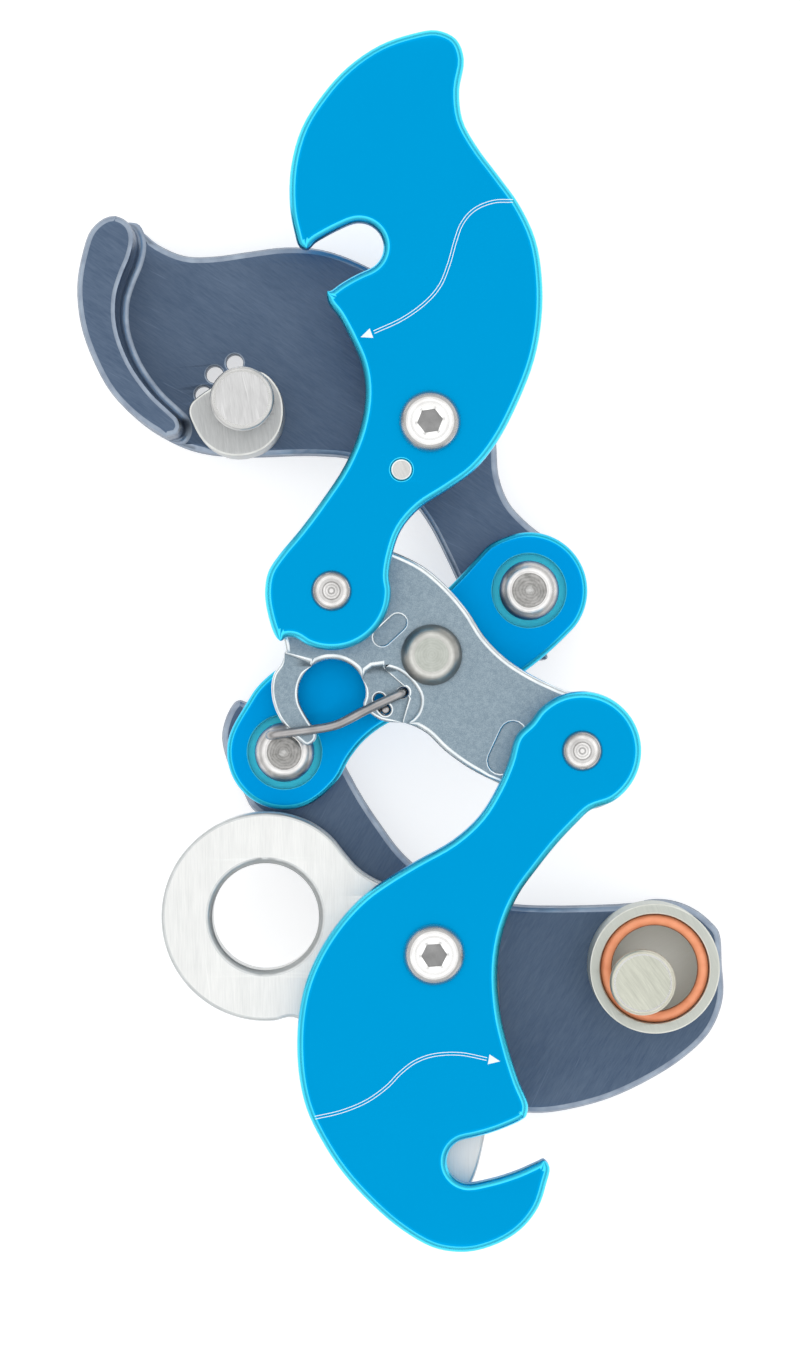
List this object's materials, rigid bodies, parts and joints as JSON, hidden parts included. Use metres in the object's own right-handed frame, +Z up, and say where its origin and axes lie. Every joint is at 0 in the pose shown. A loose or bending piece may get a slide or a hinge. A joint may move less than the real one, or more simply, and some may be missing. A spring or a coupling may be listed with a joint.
{
  "type": "belay device",
  "caption": "Hinged double-plate rope grab with rope posts, off-centre bollard, index cam, wire-gated tether hook and attachment eye, lying open.",
  "frame": {"origin": "middle of the attachment eye, half way through its thickness, which is the mid-plane between the front and rear plates", "axes": "+Y from the attachment eye towards the upper handle along the open device, +X towards the lower bollard, +Z up out of the front plates along every hinge"},
  "size_m": [0.0928, 0.1749, 0.0281],
  "materials": {
    "blue_anodised": "satin bright blue anodised",
    "dark_anodised": "brushed slate anodised",
    "blasted_aluminium": "bead blasted",
    "brushed_aluminium": "brushed",
    "steel": "polished",
    "spring_wire": "drawn wire",
    "white_print": "thin printed rope lines on the front plates",
    "orange_rubber": "smooth"
  },
  "bodies": {
    "lower_arm": {"lower_rear_plate": "dark_anodised", "eye_block": "brushed_aluminium", "eye_block_dowels": "steel", "lower_hinge_sleeve": "steel", "lower_front_screw": "steel", "lower_rear_screw": "steel", "lower_rope_post": "steel", "lower_pivot_post": "steel"},
    "lower_bollard": {"lower_bollard": "brushed_aluminium", "bollard_o_ring": "orange_rubber"},
    "rear_link": {"rear_link": "blue_anodised", "spine_spacer": "steel", "spine_rivet": "steel", "spine_collar": "steel"},
    "upper_arm": {"upper_rear_plate": "dark_anodised", "upper_spool": "brushed_aluminium", "upper_front_screw": "steel", "upper_rear_screw": "steel", "upper_rope_post": "steel", "upper_pivot_post": "steel"},
    "upper_cam": {"upper_cam": "brushed_aluminium", "detent_ball": "steel", "detent_spring": "spring_wire"},
    "front_link": {"front_link": "blasted_aluminium", "link_bushes": "steel"},
    "wire_gate": {"wire_gate": "spring_wire"},
    "upper_front_plate": {"upper_front_plate": "blue_anodised", "upper_link_rivet": "steel", "stop_pin": "steel"},
    "lower_front_plate": {"lower_front_plate": "blue_anodised", "lower_link_rivet": "steel"}
  },
  "joints": [
    {"name": "scissor_swing", "type": "hinge", "parent": "rear_link", "child": "front_link", "pos_m": [0.0242, 0.0375, 0], "axis": [0, 0, 1], "range_deg": [-114.02, 0]},
    {"name": "rear_link_swing", "type": "hinge", "parent": "lower_arm", "child": "rear_link", "pos_m": [0.00281, 0.02361, 0], "axis": [0, 0, 1], "range_deg": [0, 93.45]},
    {"name": "upper_arm_swing", "type": "hinge", "parent": "rear_link", "child": "upper_arm", "pos_m": [0.03846, 0.04676, 0], "axis": [0, 0, 1], "range_deg": [-87.63, 0]},
    {"name": "upper_front_plate_swing", "type": "hinge", "parent": "upper_arm", "child": "upper_front_plate", "pos_m": [0.0242, 0.07086, 0], "axis": [0, 0, 1], "range_deg": [0, 61.24]},
    {"name": "lower_front_plate_swing", "type": "hinge", "parent": "lower_arm", "child": "lower_front_plate", "pos_m": [0.0242, -0.00535, 0], "axis": [0, 0, 1], "range_deg": [0, 72.91]},
    {"name": "wire_gate_swing", "type": "hinge", "parent": "front_link", "child": "wire_gate", "pos_m": [0.0201, 0.03215, 0], "axis": [0, 0, 1], "range_deg": [-28, 0], "stiffness_Nm_per_rad": 0.02, "springref_deg": 5.73},
    {"name": "upper_cam_turn", "type": "hinge", "parent": "upper_arm", "child": "upper_cam", "pos_m": [-0.00259, 0.07424, 0], "axis": [0, 0, 1], "range_deg": [-124, 0]},
    {"name": "lower_bollard_turn", "type": "hinge", "parent": "lower_arm", "child": "lower_bollard", "pos_m": [0.05391, -0.00947, 0], "axis": [0, 0, 1], "range_deg": [-180, 180]}
  ],
  "couplings": [
    {"joint": "scissor_swing", "follows": "rear_link_swing", "ratio": -1.22},
    {"joint": "upper_arm_swing", "follows": "rear_link_swing", "ratio": -0.93755},
    {"joint": "upper_front_plate_swing", "follows": "rear_link_swing", "ratio": 0.65514},
    {"joint": "lower_front_plate_swing", "follows": "rear_link_swing", "ratio": 0.78004}
  ]
}
